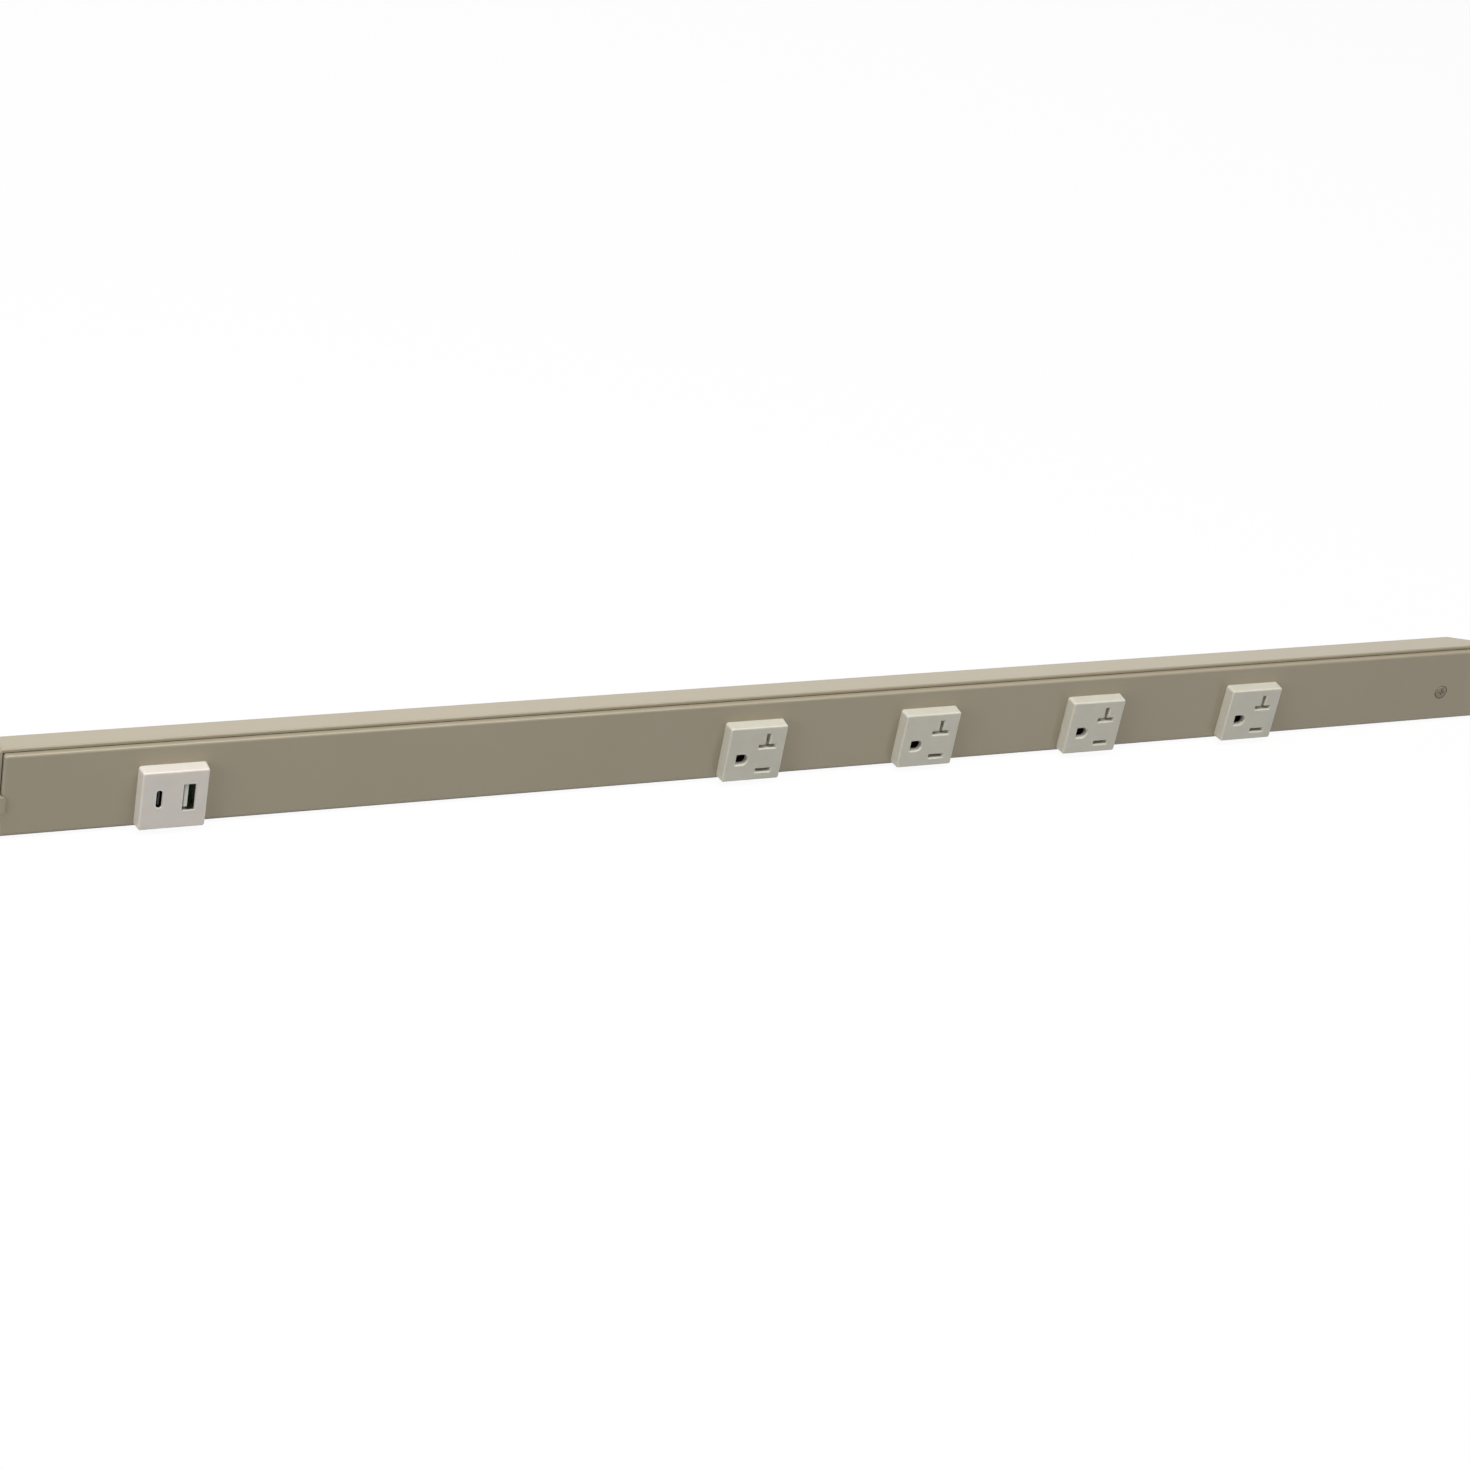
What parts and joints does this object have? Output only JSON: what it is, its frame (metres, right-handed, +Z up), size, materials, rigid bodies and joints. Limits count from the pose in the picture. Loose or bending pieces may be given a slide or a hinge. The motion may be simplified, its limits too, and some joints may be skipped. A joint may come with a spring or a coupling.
{
  "type": "under cabinet power strip",
  "caption": "Long slim metal power strip for under a cabinet, with small square socket modules and a charging module on its cover.",
  "frame": {"origin": "on the flat back, midway between the two mounting slots, at half the strip's length and height", "axes": "+X along the strip, from the charging module to the blank wired end; +Y out of the back, into the cabinet; +Z up; the sockets face -Y"},
  "size_m": [0.777, 0.0205, 0.0426],
  "materials": {
    "painted_steel": "satin paint",
    "post_steel": "zinc plated",
    "module_plastic": "satin",
    "rear_plastic": "matt",
    "shutter_plastic": "matt",
    "contact_brass": "stamped",
    "spring_steel": "drawn wire",
    "port_steel": "nickel plated",
    "port_plastic": "matt",
    "board_laminate": "lacquered",
    "coil_tape": "tape wound",
    "capacitor_can": "sleeved",
    "line_insulation": "nylon jacket",
    "neutral_insulation": "nylon jacket",
    "ground_insulation": "nylon jacket",
    "block_plastic": "matt",
    "bonding_copper": "bare strip",
    "bonding_screw": "green dyed zinc",
    "bushing_plastic": "nylon"
  },
  "bodies": {
    "strip": {"back_housing": "painted_steel", "front_cover": "painted_steel", "cover_post": "post_steel", "cover_screw": "painted_steel", "cable_bushing": "bushing_plastic", "terminal_block": "block_plastic", "terminal_screws": "post_steel", "bond_strap": "bonding_copper", "bond_screw": "bonding_screw", "line_wire": "line_insulation", "neutral_wire": "neutral_insulation", "ground_wire": "ground_insulation", "charger_face": "module_plastic", "charger_body": "rear_plastic", "charger_board": "board_laminate", "charger_transformer": "coil_tape", "charger_capacitor": "capacitor_can", "charger_line_tap": "contact_brass", "charger_neutral_tap": "contact_brass", "port_a_shell": "port_steel", "port_a_tongue": "port_plastic", "port_c_shell": "port_steel", "port_c_tongue": "rear_plastic", "outlet_face_1": "module_plastic", "outlet_body_1": "rear_plastic", "shutter_spring_1": "spring_steel", "line_contact_1": "contact_brass", "neutral_contact_1": "contact_brass", "ground_contact_1": "contact_brass", "outlet_face_2": "module_plastic", "outlet_body_2": "rear_plastic", "shutter_spring_2": "spring_steel", "line_contact_2": "contact_brass", "neutral_contact_2": "contact_brass", "ground_contact_2": "contact_brass", "outlet_face_3": "module_plastic", "outlet_body_3": "rear_plastic", "shutter_spring_3": "spring_steel", "line_contact_3": "contact_brass", "neutral_contact_3": "contact_brass", "ground_contact_3": "contact_brass", "outlet_face_4": "module_plastic", "outlet_body_4": "rear_plastic", "shutter_spring_4": "spring_steel", "line_contact_4": "contact_brass", "neutral_contact_4": "contact_brass", "ground_contact_4": "contact_brass"},
    "shutter_slide_1": {"shutter_1": "shutter_plastic"},
    "shutter_slide_2": {"shutter_2": "shutter_plastic"},
    "shutter_slide_3": {"shutter_3": "shutter_plastic"},
    "shutter_slide_4": {"shutter_4": "shutter_plastic"}
  },
  "joints": [
    {"name": "shutter_travel_1", "type": "slide", "parent": "strip", "child": "shutter_slide_1", "axis": [0, 0, -1], "range_m": [0, 0.0019], "stiffness_N_per_m": 400, "springref_m": -0.003, "deforming": ["shutter_spring_1"]},
    {"name": "shutter_travel_2", "type": "slide", "parent": "strip", "child": "shutter_slide_2", "axis": [0, 0, -1], "range_m": [0, 0.0019], "stiffness_N_per_m": 400, "springref_m": -0.003, "deforming": ["shutter_spring_2"]},
    {"name": "shutter_travel_3", "type": "slide", "parent": "strip", "child": "shutter_slide_3", "axis": [0, 0, -1], "range_m": [0, 0.0019], "stiffness_N_per_m": 400, "springref_m": -0.003, "deforming": ["shutter_spring_3"]},
    {"name": "shutter_travel_4", "type": "slide", "parent": "strip", "child": "shutter_slide_4", "axis": [0, 0, -1], "range_m": [0, 0.0019], "stiffness_N_per_m": 400, "springref_m": -0.003, "deforming": ["shutter_spring_4"]}
  ]
}
